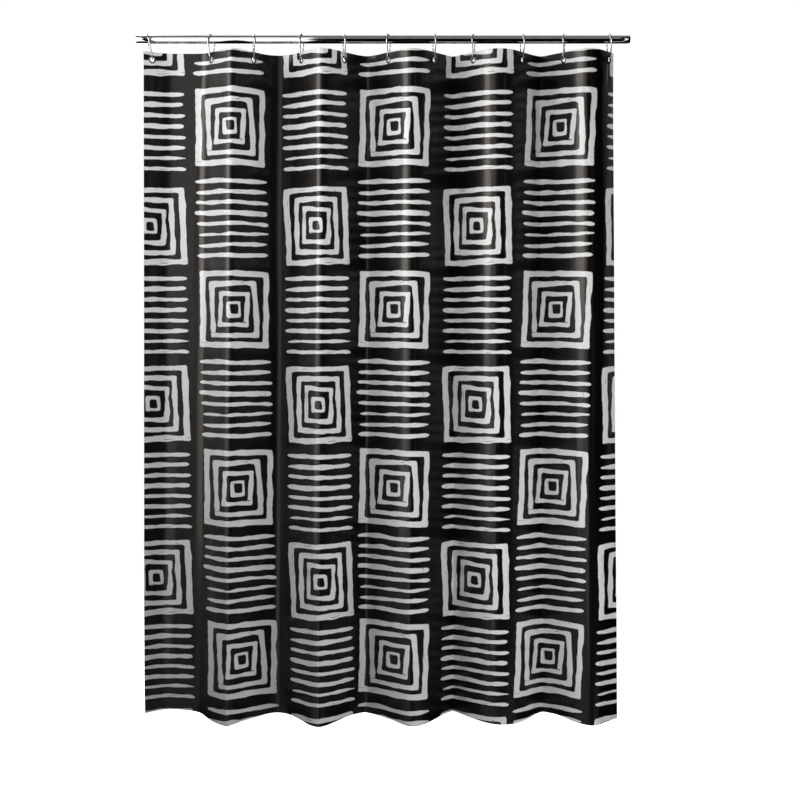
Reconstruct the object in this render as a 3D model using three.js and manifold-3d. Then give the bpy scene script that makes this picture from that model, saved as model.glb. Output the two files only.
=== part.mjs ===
// Shower curtain hung on a straight round rod.
// One printed film, a metal eyelet for each ring (a front half and a back washer),
// and one sprung wire ring for each eyelet. Millimetres, +X along the rod, +Y away
// from the printed side, +Z up. The origin is the middle of the rod, on its axis.

import * as THREE from 'three';
import { mergeVertices } from 'three/addons/utils/BufferGeometryUtils.js';
import Module from 'manifold-3d';

// ---------- driving dimensions ----------

// Clearance between two pieces that touch on the real object.
const GAP = 0.3;
// The same where a ring rests on the rod, with the flats between the wire's steps.
const RING_REST = 0.45;

// Rod: a plain cut tube.
const ROD_DIAMETER = 21;
const ROD_WALL = 1;
const ROD_BEYOND_FIRST_EYELET = 42;
const ROD_BEYOND_LAST_EYELET = 55;

// Film, as cut.
const FILM_WIDTH = 1800;
const FILM_HEIGHT = 1800;
const FILM_THICKNESS = 0.3;
const EYELET_FROM_SIDE = 25;
const EYELET_FROM_TOP = 20;

// How the film hangs. Each panel is the film between two eyelets, from the left:
// the share of its width that is left between its two rings.
const PANEL_SPREADS = [0.90, 0.64, 0.73, 0.65, 0.67, 0.69, 0.60, 0.74, 0.63, 0.69];
// Lean of the film where it passes a ring, measured from the rod, in degrees.
const FIRST_LEAN = 36;
const SECOND_LEAN = 50;
const LEAN = 55;
// The folds open a little towards the hem, to either side of the film that hangs plumb,
// this share of the width from the left. The left edge hangs back, and the hem with it.
const PLUMB_PLACE = 0.59;
const HEM_OPENING = 0.055;
const HEM_SET_BACK = 4;
const LEFT_EDGE_SET_BACK = 75;
const LEFT_EDGE_REACH = 320;
const TOP_BAND = 60;

// Eyelets. The hole is wide enough for the wire to cross it at a slant.
const WIRE_PLAY_IN_EYELET = 9;
const EYELET_FLANGE_WIDTH = 4.2;
const EYELET_SHEET = 0.8;
const EYELET_BARREL_WALL = 0.9;
const EYELET_LIP_WIDTH = 1.7;
const EYELET_LIP_SHEET = 0.6;

// Rings: pear shaped wire, wide round the rod and narrow at the eyelet.
const RING_WIRE = 3.8;
const RING_ROOM_ROUND_ROD = 6.6;
const RING_BOTTOM_ROOM = 8;
const RING_DROP_BELOW_ROD = 41;
const RING_SPLIT = 1.2;
const RING_SPLIT_BELOW_ROD = 8;
const WIRE_ABOVE_EYELET_CENTRE = 1;
// Turn about the vertical and lean along the rod of each ring, in degrees.
const RING_TURNS = [14, -20, 12, -11, 12, -13, 11, -12, 13, -11, 12];
const RING_LEANS = [-12, 0, 1, 0, -1, 0, 1, 0, 0, 1, 0];

// Facets.
const ROD_SIDES = 32;
const WIRE_SIDES = 8;
const WIRE_STEPS = 30;
const EYELET_SIDES = 14;
const PANEL_FACETS = 8;
const ROWS_BELOW_BAND = 6;
const ARC_STEP = 1;

// ---------- derived dimensions ----------

const radians = THREE.MathUtils.degToRad;
const rodRadius = ROD_DIAMETER / 2;
const wireRadius = RING_WIRE / 2;
const panelCount = PANEL_SPREADS.length;
const eyeletCount = panelCount + 1;
const panelWidth = (FILM_WIDTH - 2 * EYELET_FROM_SIDE) / panelCount;
const hungSpan = panelWidth * PANEL_SPREADS.reduce((sum, share) => sum + share, 0);
const rodLength = ROD_BEYOND_FIRST_EYELET + hungSpan + ROD_BEYOND_LAST_EYELET;
const firstEyeletX = ROD_BEYOND_FIRST_EYELET - rodLength / 2;
const ringTopRadius = rodRadius + RING_ROOM_ROUND_ROD + wireRadius;
const ringBottomRadius = RING_BOTTOM_ROOM + wireRadius;
const ringTopZ = rodRadius + RING_REST + wireRadius;
const ringBottomZ = -rodRadius - RING_DROP_BELOW_ROD;
const ringHeight = ringTopZ - ringBottomZ;
const eyeletZ = ringBottomZ - WIRE_ABOVE_EYELET_CENTRE;
const filmTopZ = eyeletZ + EYELET_FROM_TOP;
const plumbS = FILM_WIDTH * PLUMB_PLACE;

const eyeletHoleRadius = (RING_WIRE + WIRE_PLAY_IN_EYELET) / 2;
const eyeletRadius = eyeletHoleRadius + EYELET_FLANGE_WIDTH;
const barrelRadius = eyeletHoleRadius + EYELET_BARREL_WALL;
const filmHoleRadius = barrelRadius + GAP;
const flangeInside = FILM_THICKNESS / 2 + GAP;
const flangeOutside = flangeInside + EYELET_SHEET;
const lipInside = flangeOutside + GAP;
const lipOutside = lipInside + EYELET_LIP_SHEET;
// The film stays flat under each eyelet, this far to either side of its centre.
const seat = eyeletRadius + 1.5;

// ---------- materials ----------

function material(color, roughness, metalness) {
  return new THREE.MeshStandardMaterial({ color, roughness, metalness });
}

const chrome = () => material(0xd4d6d9, 0.12, 1);
const nickel = () => material(0xb9bbbe, 0.25, 1);
const film = () => material(0x121214, 0.25, 0);

function addMesh(parent, name, geometry, meshMaterial) {
  const mesh = new THREE.Mesh(geometry, meshMaterial);
  mesh.name = name;
  parent.add(mesh);
  return mesh;
}

const numbered = (name, index) => `${name}_${String(index + 1).padStart(2, '0')}`;

// ---------- folds of the film ----------

// s runs along the width of the flat film, from its left edge.
const eyeletS = (index) => EYELET_FROM_SIDE + panelWidth * index;

function leanOfEyelet(index) {
  if (index === 0) return radians(FIRST_LEAN);
  if (index === 1) return radians(SECOND_LEAN);
  return radians(LEAN);
}

// Panels bulge away from the printed side and towards it in turn.
const bulgeSign = (panel) => (panel % 2 === 0 ? 1 : -1);

// Tangent angle inside one panel: flat on both eyelet seats, and between them it falls
// from the first lean to nothing at the fold's crest and on to the second lean.
function panelAngle(distance, shape) {
  const free = panelWidth - 2 * seat;
  const along = THREE.MathUtils.clamp((distance - seat) / free, 0, 1);
  if (along < shape.crest) {
    return shape.startLean * Math.cos((Math.PI / 2) * (along / shape.crest)) ** shape.power;
  }
  const back = (1 - along) / (1 - shape.crest);
  return -shape.endLean * Math.cos((Math.PI / 2) * Math.min(back, 1)) ** shape.power;
}

function panelRun(shape) {
  const run = { along: 0, across: 0 };
  for (let distance = ARC_STEP / 2; distance < panelWidth; distance += ARC_STEP) {
    const step = Math.min(ARC_STEP, panelWidth - distance + ARC_STEP / 2);
    const angle = panelAngle(distance, shape);
    run.along += Math.cos(angle) * step;
    run.across += Math.sin(angle) * step;
  }
  return run;
}

function bisect(low, high, isTooHigh) {
  for (let turn = 0; turn < 40; turn += 1) {
    const middle = (low + high) / 2;
    if (isTooHigh(middle)) high = middle;
    else low = middle;
  }
  return (low + high) / 2;
}

// The crest sits where the film comes back to the line of the rod, and the power is
// the one that leaves the panel's share of its width between its rings.
function solvePanel(index) {
  const shape = { startLean: leanOfEyelet(index), endLean: leanOfEyelet(index + 1) };
  const target = panelWidth * PANEL_SPREADS[index];
  const withPower = (power) => {
    shape.power = power;
    shape.crest = bisect(0.2, 0.8, (crest) => panelRun({ ...shape, crest }).across > 0);
    return panelRun(shape).along;
  };
  shape.power = bisect(0.05, 8, (power) => withPower(power) > target);
  withPower(shape.power);
  return shape;
}

const panelShapes = PANEL_SPREADS.map((share, index) => solvePanel(index));

function topAngle(s) {
  const place = (s - EYELET_FROM_SIDE) / panelWidth;
  const panel = THREE.MathUtils.clamp(Math.floor(place), 0, panelCount - 1);
  const distance = THREE.MathUtils.clamp(s - eyeletS(panel), 0, panelWidth);
  return bulgeSign(panel) * panelAngle(distance, panelShapes[panel]);
}

// 0 in the top band, growing to 1 at the hem.
const fallShare = (drop) => Math.max(0, (drop - TOP_BAND) / (FILM_HEIGHT - TOP_BAND));

const filmAngle = (s, drop) => topAngle(s) * (1 - HEM_OPENING * fallShare(drop));

// The film's line at one height: x, y and tangent angle at each ARC_STEP of s.
function filmLine(drop) {
  const line = [{ x: 0, y: 0, angle: filmAngle(0, drop) }];
  for (let s = ARC_STEP; s <= FILM_WIDTH; s += ARC_STEP) {
    const last = line[line.length - 1];
    const middle = filmAngle(s - ARC_STEP / 2, drop);
    const x = last.x + Math.cos(middle) * ARC_STEP;
    const y = last.y + Math.sin(middle) * ARC_STEP;
    line.push({ x, y, angle: filmAngle(s, drop) });
  }
  return line;
}

const atS = (line, s) => line[Math.round(s / ARC_STEP)];
const plumbX = (() => {
  const line = filmLine(0);
  return firstEyeletX + atS(line, plumbS).x - atS(line, eyeletS(0)).x;
})();

function leftSetBack(s, fall) {
  const reach = Math.max(0, 1 - s / LEFT_EDGE_REACH);
  return LEFT_EDGE_SET_BACK * fall * reach * reach * (3 - 2 * reach);
}

// The same line in the rod's frame: its eyelets lie under the rod, and its hem is
// centred near the plane of the rod.
function hungLine(drop) {
  const line = filmLine(drop);
  const fall = fallShare(drop);
  const meanY = line.reduce((sum, point) => sum + point.y, 0) / line.length;
  const shiftX = plumbX - atS(line, plumbS).x;
  const shiftY = -(1 - fall) * atS(line, eyeletS(0)).y + fall * (HEM_SET_BACK - meanY);
  return line.map(({ x, y, angle }, step) => ({
    x: x + shiftX,
    y: y + shiftY + leftSetBack(step * ARC_STEP, fall),
    angle,
  }));
}

const topLine = hungLine(0);

// ---------- film ----------

function filmColumns() {
  const columns = [0];
  for (let index = 0; index < eyeletCount; index += 1) {
    columns.push(eyeletS(index) - seat, eyeletS(index) + seat);
    if (index === panelCount) break;
    const free = panelWidth - 2 * seat;
    for (let facet = 1; facet < PANEL_FACETS; facet += 1) {
      columns.push(eyeletS(index) + seat + (free * facet) / PANEL_FACETS);
    }
  }
  columns.push(FILM_WIDTH);
  return columns;
}

function filmDrops() {
  const drops = [0, TOP_BAND];
  for (let row = 1; row <= ROWS_BELOW_BAND; row += 1) {
    drops.push(TOP_BAND + ((FILM_HEIGHT - TOP_BAND) * row) / ROWS_BELOW_BAND);
  }
  return drops;
}

// One face of the film, moved by offset towards the printed side.
function filmFacePoints(columns, drops, offset) {
  const points = [];
  for (const drop of drops) {
    const line = hungLine(drop);
    for (const s of columns) {
      const { x, y, angle } = atS(line, s);
      points.push(x + Math.sin(angle) * offset, y - Math.cos(angle) * offset, filmTopZ - drop);
    }
  }
  return points;
}

function filmIndices(columnCount, rowCount) {
  const indices = [];
  const back = columnCount * rowCount;
  const quad = (a, b, c, d) => indices.push(a, b, c, a, c, d);
  for (let row = 0; row < rowCount - 1; row += 1) {
    for (let column = 0; column < columnCount - 1; column += 1) {
      const a = row * columnCount + column;
      const below = a + columnCount;
      quad(a, below, below + 1, a + 1);
      quad(back + a, back + a + 1, back + below + 1, back + below);
    }
    const left = row * columnCount;
    const right = left + columnCount - 1;
    quad(left, back + left, back + left + columnCount, left + columnCount);
    quad(right, right + columnCount, back + right + columnCount, back + right);
  }
  const lastRow = (rowCount - 1) * columnCount;
  for (let column = 0; column < columnCount - 1; column += 1) {
    const low = lastRow + column;
    quad(column, column + 1, back + column + 1, back + column);
    quad(low, back + low, back + low + 1, low + 1);
  }
  return indices;
}

function uncutFilm() {
  const columns = filmColumns();
  const drops = filmDrops();
  const half = FILM_THICKNESS / 2;
  const points = filmFacePoints(columns, drops, half);
  for (const value of filmFacePoints(columns, drops, -half)) points.push(value);
  const geometry = new THREE.BufferGeometry();
  geometry.setAttribute('position', new THREE.Float32BufferAttribute(points, 3));
  geometry.setIndex(filmIndices(columns.length, drops.length));
  return geometry;
}

// Puts something modelled about +Y on an eyelet's centre, with +Y out of the printed side.
function placeOnEyelet(object, index) {
  const { x, y, angle } = atS(topLine, eyeletS(index));
  object.position.set(x, y, eyeletZ);
  object.rotation.set(Math.PI, 0, angle, 'ZYX');
  object.updateMatrixWorld(true);
  return object;
}

const wasm = await Module();
wasm.setup();

function toManifold(geometry) {
  const bare = geometry.clone();
  bare.deleteAttribute('normal');
  bare.deleteAttribute('uv');
  const merged = mergeVertices(bare, 1e-4);
  const vertProperties = new Float32Array(merged.attributes.position.array);
  const triVerts = new Uint32Array(merged.index.array);
  return new wasm.Manifold(new wasm.Mesh({ numProp: 3, vertProperties, triVerts }));
}

function fromManifold(solid) {
  const mesh = solid.getMesh();
  const geometry = new THREE.BufferGeometry();
  geometry.setAttribute('position', new THREE.BufferAttribute(mesh.vertProperties, 3));
  geometry.setIndex(new THREE.BufferAttribute(mesh.triVerts, 1));
  geometry.computeVertexNormals();
  return geometry;
}

function holeCutter(index) {
  const length = FILM_THICKNESS + 4;
  const geometry = new THREE.CylinderGeometry(filmHoleRadius, filmHoleRadius, length, EYELET_SIDES);
  const cutter = placeOnEyelet(new THREE.Object3D(), index);
  return geometry.applyMatrix4(cutter.matrixWorld);
}

function curtainSheet() {
  let solid = toManifold(uncutFilm());
  for (let index = 0; index < eyeletCount; index += 1) {
    solid = solid.subtract(toManifold(holeCutter(index)));
  }
  return fromManifold(solid);
}

// ---------- eyelets ----------

// Front half: a flange on the printed side, a barrel through the film, and the lip
// rolled out behind the washer.
function eyeletFront() {
  const lipRadius = barrelRadius + EYELET_LIP_WIDTH;
  const edge = EYELET_SHEET * 0.6;
  const profile = [
    [eyeletHoleRadius, -lipOutside],
    [lipRadius, -lipOutside],
    [lipRadius, -lipInside],
    [barrelRadius, -lipInside],
    [barrelRadius, flangeInside],
    [eyeletRadius, flangeInside],
    [eyeletRadius - edge, flangeOutside],
    [eyeletHoleRadius + edge, flangeOutside],
    [eyeletHoleRadius, flangeOutside - edge],
    [eyeletHoleRadius, -lipOutside],
  ];
  return new THREE.LatheGeometry(profile.map(([r, y]) => new THREE.Vector2(r, y)), EYELET_SIDES);
}

function eyeletWasher() {
  const edge = EYELET_SHEET * 0.6;
  const profile = [
    [filmHoleRadius, -flangeOutside],
    [eyeletRadius - edge, -flangeOutside],
    [eyeletRadius, -flangeInside],
    [filmHoleRadius, -flangeInside],
    [filmHoleRadius, -flangeOutside],
  ];
  return new THREE.LatheGeometry(profile.map(([r, y]) => new THREE.Vector2(r, y)), EYELET_SIDES);
}

// ---------- rings ----------

// Centre line of the wire, in the plane of the ring: h away from the printed side,
// v up, with the top of the ring at v = 0. It starts and ends at the split, on the
// leg behind the film, where the wire springs open to be threaded.
function ringOutline() {
  const topCentre = -ringTopRadius;
  const bottomCentre = -ringHeight + ringBottomRadius;
  const taper = Math.asin((ringTopRadius - ringBottomRadius) / (topCentre - bottomCentre));
  const legAt = (v) => {
    const fromTop = topCentre - ringTopRadius * Math.sin(taper) - v;
    return ringTopRadius * Math.cos(taper) - fromTop * Math.tan(taper);
  };
  const split = -ringTopZ - rodRadius - RING_SPLIT_BELOW_ROD;
  const splitTop = split + RING_SPLIT / 2;
  const splitBottom = split - RING_SPLIT / 2;
  const outline = new THREE.Path();
  outline.moveTo(legAt(splitTop), splitTop);
  outline.absarc(0, topCentre, ringTopRadius, -taper, Math.PI + taper, false);
  outline.absarc(0, bottomCentre, ringBottomRadius, Math.PI + taper, 2 * Math.PI - taper, false);
  outline.lineTo(legAt(splitBottom), splitBottom);
  return outline;
}

function wireRing() {
  const points = ringOutline().getSpacedPoints(WIRE_STEPS * 3);
  const path = new THREE.CatmullRomCurve3(points.map(({ x, y }) => new THREE.Vector3(0, x, y)));
  const section = new THREE.Shape().absarc(0, 0, wireRadius, 0, 2 * Math.PI);
  return new THREE.ExtrudeGeometry(section, {
    extrudePath: path,
    steps: WIRE_STEPS,
    curveSegments: WIRE_SIDES / 2,
    bevelEnabled: false,
  });
}

function addRing(parent, index) {
  const lean = radians(RING_LEANS[index]);
  const ring = addMesh(parent, numbered('ring', index), wireRing(), chrome());
  const topX = atS(topLine, eyeletS(index)).x + ringHeight * Math.sin(lean);
  ring.position.set(topX, 0, ringTopZ);
  ring.rotation.set(0, lean, radians(RING_TURNS[index]), 'XYZ');
}

// ---------- rod ----------

function rodTube() {
  const inside = rodRadius - ROD_WALL;
  const half = rodLength / 2;
  const profile = [[inside, -half], [rodRadius, -half], [rodRadius, half], [inside, half], [inside, -half]];
  const tube = profile.map(([r, y]) => new THREE.Vector2(r, y));
  return new THREE.LatheGeometry(tube, ROD_SIDES);
}

// ---------- assembly ----------

const group = new THREE.Group();

const rod = addMesh(group, 'curtain_rod', rodTube(), chrome());
rod.rotation.z = -Math.PI / 2;

addMesh(group, 'curtain_sheet', curtainSheet(), film());

for (let index = 0; index < eyeletCount; index += 1) {
  addRing(group, index);
  placeOnEyelet(addMesh(group, numbered('eyelet_front', index), eyeletFront(), nickel()), index);
  placeOnEyelet(addMesh(group, numbered('eyelet_washer', index), eyeletWasher(), nickel()), index);
}

export default group;
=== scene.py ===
"""Looks of a printed film shower curtain on wire rings and a chrome rod.

Metres, in the CAD model's frame: +X along the rod, +Y away from the printed side, +Z up, the origin in
the middle of the rod's axis. The film, the rings, the eyelets and the rod are built again here, finer
than in the CAD model and in the same places, and given node-based materials.
"""

import math

import bpy
import numpy as np
from mathutils import Matrix, Vector


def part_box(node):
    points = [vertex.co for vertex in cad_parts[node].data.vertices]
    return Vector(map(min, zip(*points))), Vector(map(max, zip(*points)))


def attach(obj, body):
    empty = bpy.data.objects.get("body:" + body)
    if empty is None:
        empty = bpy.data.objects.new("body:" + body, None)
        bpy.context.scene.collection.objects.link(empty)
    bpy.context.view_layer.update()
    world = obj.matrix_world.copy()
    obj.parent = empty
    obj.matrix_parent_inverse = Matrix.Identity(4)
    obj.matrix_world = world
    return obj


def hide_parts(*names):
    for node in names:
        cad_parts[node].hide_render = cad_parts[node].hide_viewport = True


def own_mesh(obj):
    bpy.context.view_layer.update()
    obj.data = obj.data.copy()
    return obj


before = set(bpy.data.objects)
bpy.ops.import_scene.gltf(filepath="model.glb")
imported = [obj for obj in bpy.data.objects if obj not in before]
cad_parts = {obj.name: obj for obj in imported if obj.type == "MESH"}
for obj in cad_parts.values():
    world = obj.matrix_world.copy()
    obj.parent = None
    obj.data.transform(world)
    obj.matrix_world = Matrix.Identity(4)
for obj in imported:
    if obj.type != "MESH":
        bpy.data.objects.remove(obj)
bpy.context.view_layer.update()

# ---------- sizes, as in the CAD source ----------

ROD_RADIUS = 0.0105
ROD_WALL = 0.001
ROD_BEYOND_FIRST_EYELET = 0.042
EYELET_COUNT = 11
FILM_WIDTH = 1.8
FILM_HEIGHT = 1.8
FILM_THICKNESS = 0.0003
EYELET_FROM_SIDE = 0.025
EYELET_FROM_TOP = 0.02
GAP = 0.0003
RING_REST = 0.00045

PANEL_SPREADS = (0.90, 0.64, 0.73, 0.65, 0.67, 0.69, 0.60, 0.74, 0.63, 0.69)
FIRST_LEAN = math.radians(36)
SECOND_LEAN = math.radians(50)
LEAN = math.radians(55)
PLUMB_PLACE = 0.59
HEM_OPENING = 0.055
HEM_SET_BACK = 0.004
LEFT_EDGE_SET_BACK = 0.075
LEFT_EDGE_REACH = 0.32
TOP_BAND = 0.06

WIRE_RADIUS = 0.0019
WIRE_PLAY_IN_EYELET = 0.009
WIRE_ABOVE_EYELET_CENTRE = 0.001
EYELET_FLANGE_WIDTH = 0.0042
EYELET_SHEET = 0.0008
EYELET_BARREL_WALL = 0.0009
EYELET_LIP_WIDTH = 0.0017
EYELET_LIP_SHEET = 0.0006
EYELET_HOLE_RADIUS = WIRE_RADIUS + WIRE_PLAY_IN_EYELET / 2
EYELET_RADIUS = EYELET_HOLE_RADIUS + EYELET_FLANGE_WIDTH
BARREL_RADIUS = EYELET_HOLE_RADIUS + EYELET_BARREL_WALL
LIP_RADIUS = BARREL_RADIUS + EYELET_LIP_WIDTH

RING_ROOM_ROUND_ROD = 0.0066
RING_BOTTOM_ROOM = 0.008
RING_TOP_RADIUS = ROD_RADIUS + RING_ROOM_ROUND_ROD + WIRE_RADIUS
RING_BOTTOM_RADIUS = RING_BOTTOM_ROOM + WIRE_RADIUS
RING_SPLIT = 0.0012
RING_SPLIT_BELOW_ROD = 0.008
RING_DROP_BELOW_ROD = 0.041
RING_TURNS = (14, -20, 12, -11, 12, -13, 11, -12, 13, -11, 12)
RING_LEANS = (-12, 0, 1, 0, -1, 0, 1, 0, 0, 1, 0)

PANEL_WIDTH = (FILM_WIDTH - 2 * EYELET_FROM_SIDE) / (EYELET_COUNT - 1)
ROD_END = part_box("curtain_rod")[1].x
FIRST_EYELET_X = ROD_BEYOND_FIRST_EYELET - ROD_END
RING_TOP_Z = ROD_RADIUS + RING_REST + WIRE_RADIUS
RING_BOTTOM_Z = -ROD_RADIUS - RING_DROP_BELOW_ROD
RING_HEIGHT = RING_TOP_Z - RING_BOTTOM_Z
EYELET_Z = RING_BOTTOM_Z - WIRE_ABOVE_EYELET_CENTRE
FILM_TOP_Z = EYELET_Z + EYELET_FROM_TOP
# The film is flat within SEAT of an eyelet's middle.
SEAT = EYELET_RADIUS + 0.0015
FLANGE_INSIDE = FILM_THICKNESS / 2 + GAP
FLANGE_OUTSIDE = FLANGE_INSIDE + EYELET_SHEET
LIP_INSIDE = FLANGE_OUTSIDE + GAP
LIP_OUTSIDE = LIP_INSIDE + EYELET_LIP_SHEET

# ---------- camera ----------

CAMERA_PLACE = (0.045, -3.9, -0.734)
CAMERA_PITCH_DOWN = math.radians(3.3)
LENS_MM = 65.25


def add_camera():
    data = bpy.data.cameras.new("camera")
    data.lens = LENS_MM
    camera = bpy.data.objects.new("camera", data)
    bpy.context.scene.collection.objects.link(camera)
    camera.location = CAMERA_PLACE
    camera.rotation_euler = (math.pi / 2 - CAMERA_PITCH_DOWN, 0, 0)
    bpy.context.scene.camera = camera


add_camera()


# ---------- mesh helpers ----------


def mesh_object(name, points, faces, smooth=True):
    mesh = bpy.data.meshes.new(name)
    mesh.from_pydata([tuple(p) for p in points], [], [tuple(f) for f in faces])
    mesh.validate()
    mesh.polygons.foreach_set("use_smooth", [smooth] * len(mesh.polygons))
    mesh.update()
    made = bpy.data.objects.new(name, mesh)
    bpy.context.scene.collection.objects.link(made)
    return made


def mark_sharp(mesh, angle):
    """Sharp edges where two faces meet at more than this angle, so that smooth shading stops there."""
    mesh.set_sharp_from_angle(angle=angle)


def lathe(profile, sides):
    """Points and faces of a closed (radius, height) profile turned about +Y."""
    angles = np.arange(sides) * 2 * math.pi / sides
    points = [
        (radius * math.cos(a), height, radius * math.sin(a))
        for a in angles
        for radius, height in profile
    ]
    count = len(profile)
    faces = []
    for side in range(sides):
        here = side * count
        there = (side + 1) % sides * count
        for step in range(count):
            after = (step + 1) % count
            faces.append((here + step, there + step, there + after, here + after))
    return points, faces


SIDE_SHARE = 1 / 2.1  # the most of a side that the rounding at one of its ends takes


def rounded(corners, radius, steps=4):
    """A closed (radius, height) profile with each corner rounded, where its sides leave room."""
    count = len(corners)
    made = []
    for index, corner in enumerate(corners):
        here = np.array(corner)
        before = np.array(corners[index - 1]) - here
        after = np.array(corners[(index + 1) % count]) - here
        shorter = min(np.linalg.norm(before), np.linalg.norm(after))
        reach = min(radius, shorter * SIDE_SHARE)
        start = here + before / np.linalg.norm(before) * reach
        end = here + after / np.linalg.norm(after) * reach
        for step in range(steps + 1):
            t = step / steps
            made.append(tuple((1 - t) ** 2 * start + 2 * t * (1 - t) * here + t * t * end))
    return made


# ---------- folds of the film ----------

ARC_STEP = 0.001
ARC = np.arange(round(FILM_WIDTH / ARC_STEP) + 1) * ARC_STEP
ARC_MIDDLES = ARC[1:] - ARC_STEP / 2
HALVINGS = 40
CREST_RANGE = (0.2, 0.8)
POWER_RANGE = (0.05, 8)


def eyelet_s(index):
    return EYELET_FROM_SIDE + PANEL_WIDTH * index


def lean_of_eyelet(index):
    return {0: FIRST_LEAN, 1: SECOND_LEAN}.get(index, LEAN)


def panel_angle(distance, shape):
    """Tangent angle inside a panel: flat on its eyelets' seats, nothing at the crest of the fold."""
    start_lean, end_lean, crest, power = shape
    along = np.clip((distance - SEAT) / (PANEL_WIDTH - 2 * SEAT), 0, 1)
    rising = np.cos(math.pi / 2 * np.minimum(along / crest, 1))
    falling = np.cos(math.pi / 2 * np.minimum((1 - along) / (1 - crest), 1))
    return np.where(
        along < crest,
        start_lean * np.maximum(rising, 0) ** power,
        -end_lean * np.maximum(falling, 0) ** power,
    )


def bisect(low, high, is_too_high):
    for _ in range(HALVINGS):
        middle = (low + high) / 2
        if is_too_high(middle):
            high = middle
        else:
            low = middle
    return (low + high) / 2


def solve_panel(index):
    """The panel's (start lean, end lean, crest, power), with its ends on the line of the rod."""
    leans = (lean_of_eyelet(index), lean_of_eyelet(index + 1))
    middles = np.arange(ARC_STEP / 2, PANEL_WIDTH, ARC_STEP)

    def crest_for(power):
        def ends_too_far_back(crest):
            return np.sin(panel_angle(middles, (*leans, crest, power))).sum() > 0

        return bisect(*CREST_RANGE, ends_too_far_back)

    def run(power):
        shape = (*leans, crest_for(power), power)
        return np.cos(panel_angle(middles, shape)).sum() * ARC_STEP

    target = PANEL_WIDTH * PANEL_SPREADS[index]
    power = bisect(*POWER_RANGE, lambda value: run(value) > target)
    return (*leans, crest_for(power), power)


PANEL_SHAPES = [solve_panel(index) for index in range(EYELET_COUNT - 1)]


def top_angle(s):
    """Panels bulge away from the printed side and towards it in turn."""
    angle = np.zeros_like(s)
    place = np.clip((s - EYELET_FROM_SIDE) // PANEL_WIDTH, 0, EYELET_COUNT - 2).astype(int)
    for panel, shape in enumerate(PANEL_SHAPES):
        mine = place == panel
        distance = np.clip(s[mine] - eyelet_s(panel), 0, PANEL_WIDTH)
        angle[mine] = (1 if panel % 2 == 0 else -1) * panel_angle(distance, shape)
    return angle


TOP_ANGLES = top_angle(ARC)
TOP_MIDDLE_ANGLES = top_angle(ARC_MIDDLES)


def at_s(values, s):
    return np.interp(s, ARC, values)


def film_line(fall):
    """x, y and tangent angle along the film where this share of the fall is behind it."""
    opening = 1 - HEM_OPENING * fall
    middle = TOP_MIDDLE_ANGLES * opening
    x = np.concatenate([[0], np.cumsum(np.cos(middle))]) * ARC_STEP
    y = np.concatenate([[0], np.cumsum(np.sin(middle))]) * ARC_STEP
    return x, y, TOP_ANGLES * opening


TOP_X = film_line(0)[0]
PLUMB_X = FIRST_EYELET_X + at_s(TOP_X, FILM_WIDTH * PLUMB_PLACE) - at_s(TOP_X, eyelet_s(0))


def hung_line(drop):
    """The film's line at this drop below its top edge, in the rod's frame."""
    fall = max(0.0, (drop - TOP_BAND) / (FILM_HEIGHT - TOP_BAND))
    x, y, angle = film_line(fall)
    x = x + PLUMB_X - at_s(x, FILM_WIDTH * PLUMB_PLACE)
    y = y - (1 - fall) * at_s(y, eyelet_s(0)) + fall * (HEM_SET_BACK - y.mean())
    reach = np.maximum(0, 1 - ARC / LEFT_EDGE_REACH)
    return x, y + LEFT_EDGE_SET_BACK * fall * reach**2 * (3 - 2 * reach), angle


# ---------- film: small shapes in the folds ----------

RIPPLE_SEED = 11
RIPPLE_WAVES = 46
RIPPLE_SHORTEST = 0.045
RIPPLE_LONGEST = 0.16
RIPPLE_HEIGHT = 0.0011
RIPPLE_TILT = 0.06
# At the taut top the ripples have this share of their height, and all of it from TAUT_DROP down.
RIPPLES_AT_TOP = 0.35
TAUT_DROP = 0.5
PUCKER_HEIGHT = 0.0007
PUCKER_REACH = 0.10
PUCKER_SPOKES = 7
STIFF_REACH = 0.05
HEM_CURL = 0.0045
HEM_CURL_REACH = 0.05
HEM_CURL_TURN = 31  # radians per metre along the hem
HEM_WAVE = 0.0035
HEM_WAVE_TURN = 17
HEM_WAVE_FROM = 0.8


def smoothstep(low, high, value):
    t = np.clip((value - low) / (high - low), 0, 1)
    return t * t * (3 - 2 * t)


def ripples(s, drop):
    """Shallow long ripples that run down the film, mostly upright."""
    draw = np.random.default_rng(RIPPLE_SEED)
    total = np.zeros_like(s)
    for _ in range(RIPPLE_WAVES):
        length = RIPPLE_SHORTEST * (RIPPLE_LONGEST / RIPPLE_SHORTEST) ** draw.random()
        tilt = draw.normal(0, RIPPLE_TILT)
        phase = draw.random() * 2 * math.pi
        swell = np.sin(drop * draw.uniform(1.5, 6) + draw.random() * 6) * 0.5 + 0.7
        wave = np.sin(2 * math.pi * (s + tilt * drop) / length + phase)
        total += wave * swell * (length / RIPPLE_LONGEST) ** 0.8
    return RIPPLE_HEIGHT * total / math.sqrt(RIPPLE_WAVES / 2)


def puckers(s, drop):
    """Tension folds that fan out below each eyelet."""
    total = np.zeros_like(s)
    for index in range(EYELET_COUNT):
        across = s - eyelet_s(index)
        below = drop - EYELET_FROM_TOP
        distance = np.hypot(across, below)
        bearing = np.arctan2(across, below)
        fan = np.cos(PUCKER_SPOKES * bearing + index) * np.exp(-distance / PUCKER_REACH)
        total += fan * smoothstep(SEAT, 3 * SEAT, distance)
    return PUCKER_HEIGHT * total


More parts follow.
